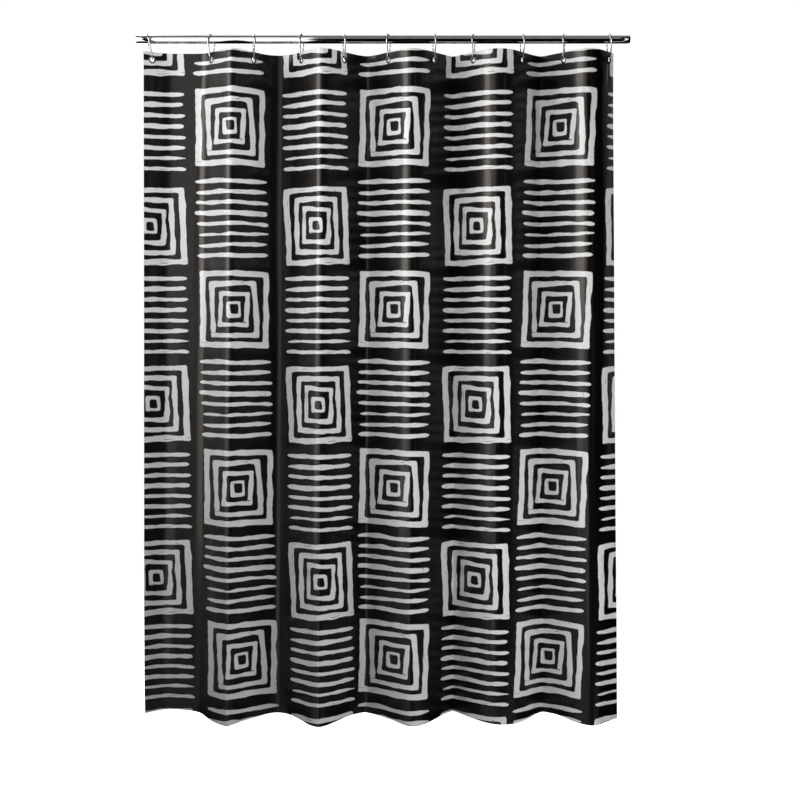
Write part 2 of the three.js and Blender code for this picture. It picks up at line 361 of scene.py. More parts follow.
def relief(s, drop):
    """How far the film stands out of its fold, towards the printed side."""
    from_eyelets = np.min(
        [np.hypot(s - eyelet_s(i), drop - EYELET_FROM_TOP) for i in range(EYELET_COUNT)], axis=0
    )
    free = smoothstep(SEAT, SEAT + STIFF_REACH, from_eyelets)
    settle = RIPPLES_AT_TOP + (1 - RIPPLES_AT_TOP) * smoothstep(0, TAUT_DROP, drop)
    near_hem = np.exp(-(FILM_HEIGHT - drop) / HEM_CURL_REACH)
    curl = HEM_CURL * near_hem * np.sin(s * HEM_CURL_TURN + 1)
    return free * (ripples(s, drop) * settle + puckers(s, drop)) + curl


# ---------- film: the mesh ----------

HOLE_PATCH = 0.015  # half the side of the square of grid that gives way to a round hole
PATCH_CELLS = 4
HOLE_RADIUS = BARREL_RADIUS + GAP
COLLAR_RADIUS = 0.0112
PANEL_CELLS = 18
MARGIN_CELLS = 2
BAND_CELLS = 2
FALL_CELLS = 188


def film_columns():
    """s of the grid's columns, and for each eyelet the column where its patch starts."""
    columns = []
    starts = []
    edge = 0.0
    for index in range(EYELET_COUNT):
        centre = eyelet_s(index)
        cells = MARGIN_CELLS if index == 0 else PANEL_CELLS
        columns += list(np.linspace(edge, centre - HOLE_PATCH, cells, endpoint=False))
        starts.append(len(columns))
        patch = np.linspace(centre - HOLE_PATCH, centre + HOLE_PATCH, PATCH_CELLS, endpoint=False)
        columns += list(patch)
        edge = centre + HOLE_PATCH
    columns += list(np.linspace(edge, FILM_WIDTH, MARGIN_CELLS + 1))
    return np.array(columns), starts


def film_drops():
    top, bottom = EYELET_FROM_TOP - HOLE_PATCH, EYELET_FROM_TOP + HOLE_PATCH
    return np.concatenate(
        [
            np.linspace(0, top, BAND_CELLS, endpoint=False),
            np.linspace(top, bottom, PATCH_CELLS, endpoint=False),
            np.linspace(bottom, FILM_HEIGHT, FALL_CELLS + 1),
        ]
    )


def patch_border(column, row):
    """Grid places round one patch, in order."""
    last = PATCH_CELLS
    around = [(c, 0) for c in range(last)]
    around += [(last, r) for r in range(last)]
    around += [(c, last) for c in range(last, 0, -1)]
    around += [(0, r) for r in range(last, 0, -1)]
    return [(column + c, row + r) for c, r in around]


def flat_film():
    """(s, drop) points and faces of the film as cut, with a round hole for each eyelet."""
    columns, starts = film_columns()
    drops = film_drops()
    width = len(columns)
    grid_s, grid_drop = np.meshgrid(columns, drops)
    points = list(zip(grid_s.ravel(), grid_drop.ravel()))
    open_cells = {
        (start + c, BAND_CELLS + r)
        for start in starts
        for c in range(PATCH_CELLS)
        for r in range(PATCH_CELLS)
    }
    faces = [
        (r * width + c, (r + 1) * width + c, (r + 1) * width + c + 1, r * width + c + 1)
        for r in range(len(drops) - 1)
        for c in range(width - 1)
        if (c, r) not in open_cells
    ]
    for index, start in enumerate(starts):
        outer = [r * width + c for c, r in patch_border(start, BAND_CELLS)]
        for radius in (COLLAR_RADIUS, HOLE_RADIUS):
            inner = []
            for corner in outer:
                across = points[corner][0] - eyelet_s(index)
                below = points[corner][1] - EYELET_FROM_TOP
                stretch = radius / math.hypot(across, below)
                inner.append(len(points))
                points.append((eyelet_s(index) + across * stretch, EYELET_FROM_TOP + below * stretch))
            for step in range(len(outer)):
                after = (step + 1) % len(outer)
                faces.append((outer[step], inner[step], inner[after], outer[after]))
            outer = inner
    return np.array(points), faces


def without_spares(points, faces):
    """Drops the points that no face uses."""
    used = np.unique([corner for face in faces for corner in face])
    place = np.full(len(points), -1)
    place[used] = np.arange(len(used))
    return points[used], [tuple(int(place[corner]) for corner in face) for face in faces]


def hang(flat):
    """Where the film's points hang, and the directions out of its printed side."""
    hung = np.zeros((len(flat), 3))
    normals = np.zeros((len(flat), 3))
    stand_out = relief(flat[:, 0], flat[:, 1])
    for drop in np.unique(flat[:, 1]):
        mine = flat[:, 1] == drop
        x, y, angle = (at_s(values, flat[mine, 0]) for values in hung_line(drop))
        normals[mine] = np.stack([np.sin(angle), -np.cos(angle), np.zeros_like(angle)], 1)
        hung[mine] = np.stack([x, y, np.full_like(x, FILM_TOP_Z - drop)], 1)
    hung += normals * stand_out[:, None]
    near_hem = smoothstep(HEM_WAVE_FROM, 1, flat[:, 1] / FILM_HEIGHT)
    hung[:, 2] += HEM_WAVE * np.sin(flat[:, 0] * HEM_WAVE_TURN) * near_hem
    return hung, normals


def film_edges(faces):
    """The directed edges that only one face has."""
    count = {}
    for face in faces:
        for a, b in zip(face, face[1:] + face[:1]):
            count[(a, b)] = count.get((a, b), 0) + 1
    return [(a, b) for a, b in count if (b, a) not in count]


# ---------- print: where its cells are ----------

# Cells of the print, as they show from the front. Each list gives the middle of a cell: of each
# column, at the top and at the hem, and of each square in the even and in the odd columns. A
# column's drawing is COLUMN_STRETCH times as wide as the print's own sizes.
COLUMNS_AT_TOP = (-0.630, -0.420, -0.191, 0.025, 0.252, 0.476, 0.694)
COLUMNS_AT_HEM = (-0.613, -0.387, -0.170, 0.023, 0.244, 0.443, 0.664)
COLUMN_STRETCH = (1.0, 1.03, 0.95, 1.03, 0.99, 1.02, 1.0)
EVEN_SQUARES = (0.010, -0.492, -0.970, -1.448, -1.920)
ODD_SQUARES = (-0.230, -0.715, -1.196, -1.665, -2.140)
# How much the print's columns and rows follow the folds. The rest of each fold's depth is taken out of
# the layout, as seen from FRONT, which is the camera's place.
COLUMN_FOLD_SHARE = 0.2
ROW_FOLD_SHARE = 0.6
FRONT = CAMERA_PLACE


def rows_of(column):
    """(height, is a square) of each cell of a column, from the top."""
    squares = ODD_SQUARES if column % 2 else EVEN_SQUARES
    rows = []
    for above, below in zip(squares, squares[1:]):
        rows += [(above, True), ((above + below) / 2, False)]
    if column % 2:
        rows = [(squares[0] + (squares[0] - squares[1]) / 2, False), *rows]
    return rows + [(squares[-1], True)]


def column_middles(drop):
    fall = drop / FILM_HEIGHT
    return np.array(COLUMNS_AT_TOP) * (1 - fall) + np.array(COLUMNS_AT_HEM) * fall


def print_coordinates(flat, hung, faces):
    """A UV for each face corner: metres from the middle of its cell, plus the cell's own number and a half.

    U's number is the column. V's is even in a square's cell and odd in a stack of bars.
    """
    nearness = FRONT[1] / (FRONT[1] - hung[:, 1])
    shown_x = FRONT[0] + (hung[:, 0] - FRONT[0]) * nearness
    shown_z = FRONT[2] + (hung[:, 2] - FRONT[2]) * nearness
    spread = np.interp(flat[:, 0], ARC, hung_line(FILM_HEIGHT / 2)[0])
    even = (flat[:, 0] / FILM_WIDTH - 0.5) * np.ptp(spread) + (spread.max() + spread.min()) / 2
    shown_x = shown_x * (1 - COLUMN_FOLD_SHARE) + even * COLUMN_FOLD_SHARE
    level = FILM_TOP_Z - flat[:, 1]
    shown_z = shown_z * (1 - ROW_FOLD_SHARE) + level * ROW_FOLD_SHARE
    uv = []
    for face in faces:
        corners = list(face)
        x, z = shown_x[corners], shown_z[corners]
        middles = column_middles(flat[corners, 1].mean())
        column = int(np.abs(middles - x.mean()).argmin())
        rows = rows_of(column)
        row = int(np.abs(np.array([height for height, _ in rows]) - z.mean()).argmin())
        height, is_square = rows[row]
        for corner_x, corner_z, corner in zip(x, z, corners):
            across = corner_x - column_middles(flat[corner, 1])[column]
            local = across / COLUMN_STRETCH[column]
            middle = 0.5 if is_square else 1.5
            uv.append((column + 0.5 + local, 2 * row + middle + corner_z - height))
    return uv


# ---------- material helper ----------


class Nodes:
    """Adds nodes to a new material and joins them. Each call gives back an output socket."""

    def __init__(self, name):
        self.material = bpy.data.materials.new(name)
        self.material.use_nodes = True
        self.tree = self.material.node_tree
        self.shader = self.tree.nodes["Principled BSDF"]

    def join(self, value, socket):
        if isinstance(value, bpy.types.NodeSocket):
            self.tree.links.new(value, socket)
        else:
            socket.default_value = value

    def node(self, kind, inputs=(), **settings):
        made = self.tree.nodes.new(kind)
        for key, value in settings.items():
            setattr(made, key, value)
        for key, value in dict(inputs).items():
            self.join(value, made.inputs[key])
        return made

    def math(self, operation, *values, clamp=False):
        made = self.node("ShaderNodeMath", enumerate(values), operation=operation, use_clamp=clamp)
        return made.outputs[0]

    def add(self, a, b):
        return self.math("ADD", a, b)

    def subtract(self, a, b):
        return self.math("SUBTRACT", a, b)

    def times(self, a, b):
        return self.math("MULTIPLY", a, b)

    def ramp(self, value, low, high, to_low=0.0, to_high=1.0):
        """value taken smoothly from low..high to to_low..to_high."""
        inputs = {"Value": value, "From Min": low, "From Max": high, "To Min": to_low, "To Max": to_high}
        made = self.node("ShaderNodeMapRange", inputs, interpolation_type="SMOOTHSTEP")
        return made.outputs[0]

    def mix(self, share, a, b):
        made = self.node("ShaderNodeMix", {0: share, 2: a, 3: b}, data_type="FLOAT")
        return made.outputs[0]

    def mix_colour(self, share, a, b):
        made = self.node("ShaderNodeMix", {0: share, 6: a, 7: b}, data_type="RGBA")
        return made.outputs[2]

    def split(self, vector):
        made = self.node("ShaderNodeSeparateXYZ", {0: vector})
        return made.outputs[0], made.outputs[1], made.outputs[2]

    def vector(self, x=0.0, y=0.0, z=0.0):
        return self.node("ShaderNodeCombineXYZ", {0: x, 1: y, 2: z}).outputs[0]

    def map(self, name):
        return self.node("ShaderNodeUVMap", uv_map=name).outputs[0]

    def noise(self, vector, scale, detail=2.0, roughness=0.5):
        """Smooth noise about 0, mostly between -0.25 and 0.25."""
        inputs = {"Vector": vector, "Scale": scale, "Detail": detail, "Roughness": roughness}
        made = self.node("ShaderNodeTexNoise", inputs)
        return self.subtract(made.outputs[0], 0.5)

    def random(self, vector):
        """A value from 0 to 1 for each whole-numbered vector."""
        return self.node("ShaderNodeTexWhiteNoise", {"Vector": vector}).outputs[0]

    def bump(self, height, distance, strength=1.0, normal=None):
        inputs = {"Height": height, "Distance": distance, "Strength": strength}
        if normal is not None:
            inputs["Normal"] = normal
        return self.node("ShaderNodeBump", inputs).outputs[0]

    def finish(self, **sockets):
        for key, value in sockets.items():
            self.join(value, self.shader.inputs[key.replace("_", " ")])
        return self.material


# ---------- print: its strokes ----------

STROKE_EDGE = 0.0007
# Half the width and half the height of each nested square, to the middle of its stroke, and the
# stroke's width.
SQUARES = (
    (0.0830, 0.0955, 0.0150),
    (0.0558, 0.0700, 0.0130),
    (0.0342, 0.0428, 0.0114),
    (0.0145, 0.0166, 0.0088),
)
SQUARE_TILT = 0.085
SQUARE_CORNER = 0.009
SQUARE_WANDER = 0.010
SQUARE_WANDER_SCALE = 7.0
SQUARE_SWELL_SCALE = 26.0
SWELL = 0.008
BAR_COUNT = 8
BAR_PITCH = 0.0281
BAR_HALF_LENGTH = 0.0925
BAR_TILT = 0.05
BAR_BEND = 0.009
BAR_BEND_SCALE = 14.0
BAR_SWELL_SCALE = 22.0
BAR_LUCK = 0.006
BAR_THINNEST = 0.0038
BAR_THICKENING = 0.0032
BAR_END_POWER = 6.0
BAR_END_POWER_LUCK = 12.0
FUZZ = 0.0016
FUZZ_SCALE = 140.0
SLITS_ALONG = 14.0
SLITS_ACROSS = 330.0
SLIT_EDGE = (0.17, 0.21)
DRY_PATCH_SCALE = 26.0
DRY_PATCH_EDGE = (0.04, 0.10)
SLITS_IN_BARS = 0.6


def wobble(n, x, z, variant, size, scale, seed):
    """A hand's slow wander: the same in each repeat of the print."""
    place = n.vector(n.add(x, seed), z, variant)
    return n.times(n.noise(place, scale, detail=1.0), size)


def nested_squares(n, x, z, variant):
    """Four nested brush-drawn squares as a mask."""
    total = 0.0
    for index, (half_x, half_z, width) in enumerate(SQUARES):
        seed = 1.7 * index
        tilt = n.times(n.subtract(n.random(n.vector(variant, index, 5.0)), 0.5), SQUARE_TILT)
        wander_x, wander_z = (
            wobble(n, x, z, variant, SQUARE_WANDER, SQUARE_WANDER_SCALE, seed + more)
            for more in (0.0, 0.9)
        )
        drawn_x = n.add(n.add(x, n.times(z, tilt)), wander_x)
        drawn_z = n.add(n.subtract(z, n.times(x, tilt)), wander_z)
        side = n.subtract(n.math("ABSOLUTE", drawn_x), half_x)
        end = n.subtract(n.math("ABSOLUTE", drawn_z), half_z)
        far = n.math("SMOOTH_MAX", side, end, SQUARE_CORNER)
        swell = wobble(n, x, z, variant, SWELL, SQUARE_SWELL_SCALE, seed + 0.4)
        inside = n.subtract(n.add(width / 2, swell), n.math("ABSOLUTE", far))
        stroke = n.ramp(inside, -STROKE_EDGE, STROKE_EDGE)
        total = stroke if index == 0 else n.math("MAXIMUM", total, stroke)
    return total


def brush_bars(n, x, z, variant):
    """Eight brush-drawn bars one above the other as a mask."""
    place = n.add(n.math("DIVIDE", z, BAR_PITCH), BAR_COUNT / 2)
    bar = n.math("FLOOR", place)
    luck = n.random(n.vector(bar, variant, 3.0))
    more_luck = n.random(n.vector(bar, variant, 8.0))
    tilt = n.times(n.times(n.subtract(luck, 0.5), BAR_TILT), x)
    bend = wobble(n, x, bar, variant, BAR_BEND, BAR_BEND_SCALE, 0.3)
    middle = n.times(n.subtract(n.math("FRACT", place), 0.5), BAR_PITCH)
    off = n.math("ABSOLUTE", n.add(n.add(middle, tilt), bend))
    shift = n.times(n.subtract(more_luck, 0.5), BAR_LUCK)
    half = n.add(BAR_HALF_LENGTH, n.times(n.subtract(luck, 0.5), BAR_LUCK))
    along = n.math("DIVIDE", n.math("ABSOLUTE", n.add(x, shift)), half)
    end = n.math("POWER", along, n.add(BAR_END_POWER, n.times(luck, BAR_END_POWER_LUCK)))
    taper = n.math("SQRT", n.math("MAXIMUM", n.subtract(1.0, end), 0.0))
    swell = wobble(n, x, bar, variant, SWELL, BAR_SWELL_SCALE, 0.7)
    thick = n.add(n.add(BAR_THINNEST, n.times(more_luck, BAR_THICKENING)), swell)
    inside = n.subtract(n.times(thick, taper), off)
    stroke = n.ramp(inside, -STROKE_EDGE, STROKE_EDGE)
    in_bars = n.math("LESS_THAN", n.math("ABSOLUTE", z), BAR_COUNT / 2 * BAR_PITCH)
    before_end = n.math("LESS_THAN", along, 1.0)
    return n.times(stroke, n.times(in_bars, before_end))


def dry_brush(n, x, z, variant):
    """Thin slits that a drying brush leaves, along the strokes."""
    slits = []
    for u, v in ((x, z), (z, x)):
        place = n.vector(n.times(u, SLITS_ALONG), n.times(v, SLITS_ACROSS), n.add(variant, 4.0))
        slits.append(n.ramp(n.noise(place, 1.0, detail=1.0), *SLIT_EDGE))
    patches = n.noise(n.vector(x, z, variant), DRY_PATCH_SCALE, detail=1.0)
    where = n.ramp(patches, *DRY_PATCH_EDGE)
    upright = n.math("GREATER_THAN", n.math("ABSOLUTE", x), n.math("ABSOLUTE", z))
    return n.times(n.mix(upright, *slits), where)


def print_mask(n):
    """1 where the ink is, and 0 on the bare film."""
    u, v, _ = n.split(n.map("print"))
    column, row = n.math("FLOOR", u), n.math("FLOOR", v)
    x = n.subtract(n.math("FRACT", u), 0.5)
    z = n.subtract(n.math("FRACT", v), 0.5)
    variant = n.math("MODULO", column, 2.0)
    is_bars = n.math("MODULO", row, 2.0)
    fuzz = n.times(n.noise(n.vector(x, z, column), FUZZ_SCALE), FUZZ)
    rough_x, rough_z = n.add(x, fuzz), n.add(z, fuzz)
    squares = nested_squares(n, rough_x, rough_z, variant)
    bars = brush_bars(n, rough_x, rough_z, variant)
    ink = n.mix(is_bars, squares, bars)
    slits = dry_brush(n, x, z, variant)
    slits = n.mix(is_bars, slits, n.times(slits, SLITS_IN_BARS))
    return n.times(ink, n.subtract(1.0, slits))


# ---------- film: its materials ----------

FILM_BLACK = (0.0018, 0.0016, 0.0016, 1)
FILM_BACK = (0.0085, 0.0081, 0.0083, 1)
GHOST = (0.028, 0.028, 0.029, 1)
INK = (0.78, 0.78, 0.775, 1)
CREASE_PITCH_ACROSS = 0.225
CREASE_PITCH_DOWN = 0.3
CREASE_WIDTH = 0.0035
CREASE_WANDER = 0.006
TENSION_WIDTH = 0.0026
TENSION_WANDER = 0.06
TENSION_SHORTEST = 0.1
TENSION_LENGTH_LUCK = 0.45
# Where the tension lines start beside an eyelet's middle, and a seed for each.
TENSION_LINES = ((-0.008, 3.0), (0.012, 6.0))
# The film's small relief is measured in BUMP_UNIT, and each kind of it has its own share.
BUMP_UNIT = 0.001
# How many times per metre each kind of relief changes, across the film and down it.
STREAK_SCALE = (26.0, 1.3)
CRINKLE_SCALE = (60.0, 11.0)
SMEAR_SCALE = (30.0, 4.0)
STREAK_SHARE = 0.55
CRINKLE_SHARE = 0.10
TENSION_SHARE = 0.3
CREASE_SHARE = 0.22
INK_THICKNESS = 0.00004


def stretched_noise(n, s, drop, scale, seed, detail):
    place = n.vector(n.times(s, scale[0]), n.times(drop, scale[1]), seed)
    return n.noise(place, 1.0, detail=detail)


def creases(n, value, pitch, along, seed):
    """Faint lines left from how the film was folded in its packet, a pitch apart."""
    place = n.math("DIVIDE", n.add(value, pitch / 2), pitch)
    away = n.times(n.subtract(n.math("FRACT", place), 0.5), pitch)
    wander = n.times(n.noise(n.vector(along, n.math("FLOOR", place), seed), 9.0), CREASE_WANDER)
    line = n.ramp(n.math("ABSOLUTE", n.add(away, wander)), 0.0, CREASE_WIDTH, 1.0, 0.0)
    shown = n.ramp(n.noise(n.vector(along, n.math("FLOOR", place), seed + 5), 5.0), -0.05, 0.15)
    return n.times(line, shown)


def tension_lines(n, s, drop, offset, seed):
    """A thin ridge that wanders down the film from each eyelet, longer below some than below others."""
    place = n.math("DIVIDE", n.subtract(s, EYELET_FROM_SIDE), PANEL_WIDTH)
    eyelet = n.math("ROUND", place)
    away = n.times(n.subtract(place, eyelet), PANEL_WIDTH)
    wander = n.times(n.noise(n.vector(drop, eyelet, seed), 4.0), TENSION_WANDER)
    off = n.math("ABSOLUTE", n.add(n.subtract(away, offset), wander))
    line = n.ramp(off, 0.0, TENSION_WIDTH, 1.0, 0.0)
    luck = n.random(n.vector(eyelet, seed, 1.0))
    reach = n.add(TENSION_SHORTEST, n.times(luck, TENSION_LENGTH_LUCK))
    return n.times(line, n.ramp(n.math("DIVIDE", drop, reach), 0.4, 1.0, 1.0, 0.0))


def film_height(n):
    """Small relief of the film, in millimetres: streaks, crinkles, tension lines and packet folds."""
    s, drop, _ = n.split(n.map("flat"))
    streaks = stretched_noise(n, s, drop, STREAK_SCALE, 0.5, 2.0)
    crinkles = stretched_noise(n, s, drop, CRINKLE_SCALE, 2.5, 3.0)
    across = creases(n, s, CREASE_PITCH_ACROSS, drop, 1.0)
    down = creases(n, drop, CREASE_PITCH_DOWN, s, 2.0)
    height = n.add(n.times(streaks, STREAK_SHARE), n.times(crinkles, CRINKLE_SHARE))
    for offset, seed in TENSION_LINES:
        line = tension_lines(n, s, drop, offset, seed)
        height = n.add(height, n.times(line, TENSION_SHARE))
    return n.add(height, n.times(n.add(across, down), CREASE_SHARE))


def film_smear(n):
    """Upright streaks in how rough the film is."""
    s, drop, _ = n.split(n.map("flat"))
    return stretched_noise(n, s, drop, SMEAR_SCALE, 0.0, 3.0)


def film_front():
    """Black film with pale ink: a broad soft sheen, and a weak sharper one over it."""
    n = Nodes("printed_film_front")
    ink = print_mask(n)
    smear = film_smear(n)
    normal = n.bump(ink, INK_THICKNESS, normal=n.bump(film_height(n), BUMP_UNIT))
    return n.finish(
        Base_Color=n.mix_colour(ink, FILM_BLACK, INK),
        Roughness=n.add(0.44, n.times(smear, 0.2)),
        Normal=normal,
        IOR=1.3,
        Coat_Weight=0.28,
        Coat_Roughness=n.add(0.18, n.times(smear, 0.12)),
        Coat_Normal=normal,
    )


def film_back():
    """The back is bare film, and the ink on its other side shows through it a little."""
    n = Nodes("printed_film_back")
    ink = print_mask(n)
    return n.finish(
        Base_Color=n.mix_colour(ink, FILM_BACK, GHOST),
        Roughness=n.add(0.36, n.times(film_smear(n), 0.16)),
        Normal=n.bump(film_height(n), BUMP_UNIT),
        IOR=1.5,
    )


def make_film():
    flat, faces = without_spares(*flat_film())
    hung, normals = hang(flat)
    half = FILM_THICKNESS / 2
    count = len(flat)
    points = np.concatenate([hung + normals * half, hung - normals * half])
    back_faces = [tuple(corner + count for corner in reversed(face)) for face in faces]
    edge_faces = [(b, a, a + count, b + count) for a, b in film_edges(faces)]
    film = mesh_object("film", points, [*faces, *back_faces, *edge_faces])
    mesh = film.data
    front_uv = print_coordinates(flat, hung, faces)
    starts = np.cumsum([0] + [len(face) for face in faces])
    back_uv = [
        front_uv[start + place]
        for start, face in zip(starts, faces)
        for place in reversed(range(len(face)))
    ]
    edge_uv = [(0.0, 0.0)] * (4 * len(edge_faces))
    print_map = mesh.uv_layers.new(name="print")
    print_map.uv.foreach_set("vector", np.array([*front_uv, *back_uv, *edge_uv], np.float32).ravel())
    corner_points = np.zeros(len(mesh.loops), np.int32)
    mesh.loops.foreach_get("vertex_index", corner_points)
    flat_map = mesh.uv_layers.new(name="flat")
    flat_map.uv.foreach_set("vector", flat[corner_points % count].astype(np.float32).ravel())
    for material in (film_front(), film_back()):
        mesh.materials.append(material)
    is_back = [0] * len(faces) + [1] * (len(back_faces) + len(edge_faces))
    mesh.polygons.foreach_set("material_index", is_back)
    mark_sharp(mesh, math.radians(60))
    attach(film, "curtain")
    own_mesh(film)
    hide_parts("curtain_sheet")
    return film


# ---------- metal ----------

GRAIN_BUMP = 0.00002
PATCH_SCALE = 45.0
CHROME = (0.78, 0.79, 0.80, 1)
CHROME_DULL = (0.66, 0.67, 0.69, 1)
WIRE = (0.5, 0.5, 0.51, 1)
WIRE_DULL = (0.38, 0.38, 0.39, 1)
NICKEL = (0.22, 0.22, 0.225, 1)
NICKEL_DARK = (0.12, 0.12, 0.125, 1)


def metal(name, bright, dull, roughness, grain_along, grain_across):
    """Polished metal with fine drawn lines and a few duller patches."""
    n = Nodes(name)
    x, y, z = n.split(n.node("ShaderNodeTexCoord").outputs["Object"])
    place = n.vector(n.times(x, grain_along), n.times(y, grain_across), n.times(z, grain_across))
    grain = n.noise(place, 1.0, detail=3.0)
    patches = n.noise(n.vector(x, y, z), PATCH_SCALE, detail=2.0)
    return n.finish(
        Base_Color=n.mix_colour(n.ramp(patches, -0.1, 0.25), bright, dull),
        Roughness=n.add(roughness, n.add(n.times(grain, 0.06), n.times(patches, 0.08))),
        Normal=n.bump(grain, GRAIN_BUMP),
        Metallic=1.0,
    )


# ---------- rod ----------

ROD_SIDES = 96
ROD_EDGE = 0.0003
ROD_BANDS = 24
METAL_CREASE = math.radians(50)


def make_rod(material):
    """A tube with eased edges, in short bands along its length."""
    inside = ROD_RADIUS - ROD_WALL
    outer = [(ROD_RADIUS, h) for h in np.linspace(-ROD_END + ROD_EDGE, ROD_END - ROD_EDGE, ROD_BANDS)]
    inner = [(inside, ROD_END - ROD_EDGE), (inside, -ROD_END + ROD_EDGE)]
    ends = [(ROD_RADIUS - ROD_EDGE, ROD_END), (inside + ROD_EDGE, ROD_END)]
    starts = [(inside + ROD_EDGE, -ROD_END), (ROD_RADIUS - ROD_EDGE, -ROD_END)]
    points, faces = lathe([*outer, *ends, *inner, *starts], ROD_SIDES)
    rod = mesh_object("rod_tube", [(h, x, z) for x, h, z in points], faces)
    mark_sharp(rod.data, METAL_CREASE)
    rod.data.materials.append(material)
    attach(rod, "rod")
    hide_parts("curtain_rod")


# ---------- rings ----------

WIRE_SIDES = 20
WIRE_STEPS = 150
TIP_STEPS = 5
TIP_FROM = 0.15  # the first round of a domed tip, as an angle of its dome
TOP_ARC_STEPS = 80
BOTTOM_ARC_STEPS = 50


def ring_line():
    """(across, up) along the wire's centre line, from one end of the split round to the other."""
    top, bottom = -RING_TOP_RADIUS, -RING_HEIGHT + RING_BOTTOM_RADIUS
    taper = math.asin((RING_TOP_RADIUS - RING_BOTTOM_RADIUS) / (top - bottom))

    def leg_at(up):
        from_top = top - RING_TOP_RADIUS * math.sin(taper) - up
        return RING_TOP_RADIUS * math.cos(taper) - from_top * math.tan(taper)

    def arc(centre, radius, start, end, count):
        turn = np.linspace(start, end, count)
        return np.stack([radius * np.cos(turn), centre + radius * np.sin(turn)], 1)

    split = -RING_TOP_Z - ROD_RADIUS - RING_SPLIT_BELOW_ROD
    first, last = split + RING_SPLIT / 2, split - RING_SPLIT / 2
    line = np.concatenate(
        [
            [(leg_at(first), first)],
            arc(top, RING_TOP_RADIUS, -taper, math.pi + taper, TOP_ARC_STEPS),
            arc(bottom, RING_BOTTOM_RADIUS, math.pi + taper, 2 * math.pi - taper, BOTTOM_ARC_STEPS),
            [(leg_at(last), last)],
        ]
    )
    length = np.concatenate([[0], np.cumsum(np.linalg.norm(np.diff(line, axis=0), axis=1))])
    even = np.linspace(0, length[-1], WIRE_STEPS + 1)
    return np.stack([np.interp(even, length, line[:, axis]) for axis in (0, 1)], 1)


def wire_mesh():
    """A round wire with domed tips along the ring's line."""
    line = ring_line()
    along = np.gradient(line, axis=0)
    along /= np.linalg.norm(along, axis=1)[:, None]
    rounds = []
    dome = np.sin(np.linspace(TIP_FROM, math.pi / 2, TIP_STEPS))
    radii = np.concatenate([dome, np.ones(WIRE_STEPS + 1 - 2 * TIP_STEPS), dome[::-1]])
    for (across, up), (da, du), share in zip(line, along, radii):
        turn = np.arange(WIRE_SIDES) * 2 * math.pi / WIRE_SIDES
        out = np.stack([np.zeros(WIRE_SIDES), np.full(WIRE_SIDES, -du), np.full(WIRE_SIDES, da)], 1)
        side = np.array([1.0, 0.0, 0.0])
        around = np.cos(turn)[:, None] * side + np.sin(turn)[:, None] * out
        rounds.append(np.array([0.0, across, up]) + around * WIRE_RADIUS * share)
    points = np.concatenate(rounds)
    faces = []
    for step in range(WIRE_STEPS):
        for side in range(WIRE_SIDES):
            after = (side + 1) % WIRE_SIDES
            here, there = step * WIRE_SIDES, (step + 1) * WIRE_SIDES
            faces.append((here + side, here + after, there + after, there + side))
    faces.append(tuple(range(WIRE_SIDES))[::-1])
    faces.append(tuple(range(WIRE_STEPS * WIRE_SIDES, (WIRE_STEPS + 1) * WIRE_SIDES)))
    return points, faces


def eyelet_place(index):
    """(x, y, angle) of the film at an eyelet."""
    return [float(at_s(values, eyelet_s(index))) for values in hung_line(0)]


def make_ring(index, points, faces, material):
    ring = mesh_object(f"wire_ring_{index + 1:02d}", points, faces)
    lean = math.radians(RING_LEANS[index])
    turned = Matrix.Rotation(lean, 4, "Y") @ Matrix.Rotation(math.radians(RING_TURNS[index]), 4, "Z")
    top_x = eyelet_place(index)[0] + RING_HEIGHT * math.sin(lean)
    ring.data.transform(Matrix.Translation((top_x, 0, RING_TOP_Z)) @ turned)
    ring.data.materials.append(material)
    mark_sharp(ring.data, math.radians(60))
    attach(ring, f"hanger_{index + 1:02d}")
    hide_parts(f"ring_{index + 1:02d}")
    return ring


# ---------- eyelets ----------

EYELET_SIDES = 64
FLANGE_BEVEL = 0.0005
HOLE_BEVEL = 0.0006
EYELET_ROUNDING = 0.0004
WASHER_ROUNDING = 0.0002


def front_profile():
    """Half of a rolled eyelet: domed flange, barrel and turned lip, as (radius, height to the front)."""
    corners = [
        (EYELET_HOLE_RADIUS, -LIP_OUTSIDE),
        (LIP_RADIUS, -LIP_OUTSIDE),
        (LIP_RADIUS, -LIP_INSIDE),
        (BARREL_RADIUS, -LIP_INSIDE),
        (BARREL_RADIUS, FLANGE_INSIDE),
        (EYELET_RADIUS, FLANGE_INSIDE),
        (EYELET_RADIUS - FLANGE_BEVEL, FLANGE_OUTSIDE),
        (EYELET_HOLE_RADIUS + HOLE_BEVEL, FLANGE_OUTSIDE),
        (EYELET_HOLE_RADIUS, FLANGE_OUTSIDE - HOLE_BEVEL),
    ]
    return rounded(corners, EYELET_ROUNDING)


def washer_profile():
    corners = [
        (HOLE_RADIUS, -FLANGE_OUTSIDE),
        (EYELET_RADIUS - FLANGE_BEVEL, -FLANGE_OUTSIDE),
        (EYELET_RADIUS, -FLANGE_INSIDE),
        (HOLE_RADIUS, -FLANGE_INSIDE),
    ]
    return rounded(corners, WASHER_ROUNDING)


def make_eyelet_part(name, node, index, profile, material):
    points, faces = lathe(profile, EYELET_SIDES)
    part = mesh_object(name, points, faces)
    x, y, angle = eyelet_place(index)
    turned = Matrix.Rotation(angle, 4, "Z") @ Matrix.Rotation(math.pi, 4, "X")
    part.data.transform(Matrix.Translation((x, y, EYELET_Z)) @ turned)
    part.data.materials.append(material)
    mark_sharp(part.data, METAL_CREASE)
    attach(part, "curtain")
    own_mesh(part)
    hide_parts(node)
    return part


# ---------- the whole curtain ----------


